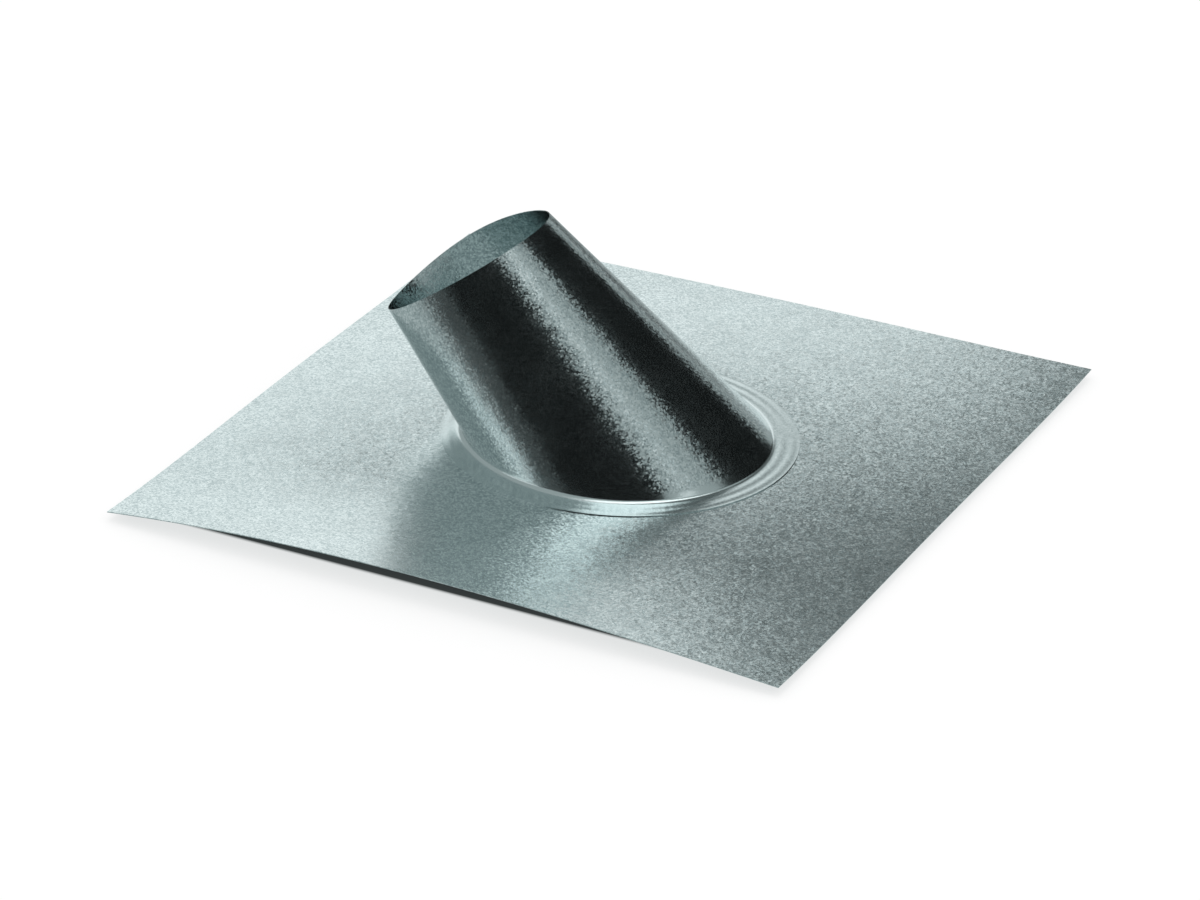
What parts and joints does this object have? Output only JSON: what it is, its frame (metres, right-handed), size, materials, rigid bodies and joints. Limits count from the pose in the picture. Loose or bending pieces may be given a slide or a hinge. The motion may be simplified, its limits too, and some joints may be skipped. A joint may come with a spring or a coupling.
{
  "type": "pipe flashing boot",
  "caption": "Sheet-steel roof flashing: a square base with a leaning tapered collar that seals a round vent pipe where it passes through a pitched roof.",
  "frame": {"origin": "middle of the base sheet's underside", "axes": "+Z square to the base and away from the roof; the collar leans towards -X, the up-slope side; Y runs across the slope"},
  "size_m": [0.457, 0.457, 0.1299],
  "materials": {
    "galvanised_base": "zinc-coated sheet with a fine minimised spangle, satin",
    "galvanised_collar": "zinc-coated sheet with a fine minimised spangle, brighter and smoother where the foot flange was rolled down"
  },
  "bodies": {
    "root": {"base_plate": "galvanised_base", "collar": "galvanised_collar"}
  },
  "joints": []
}
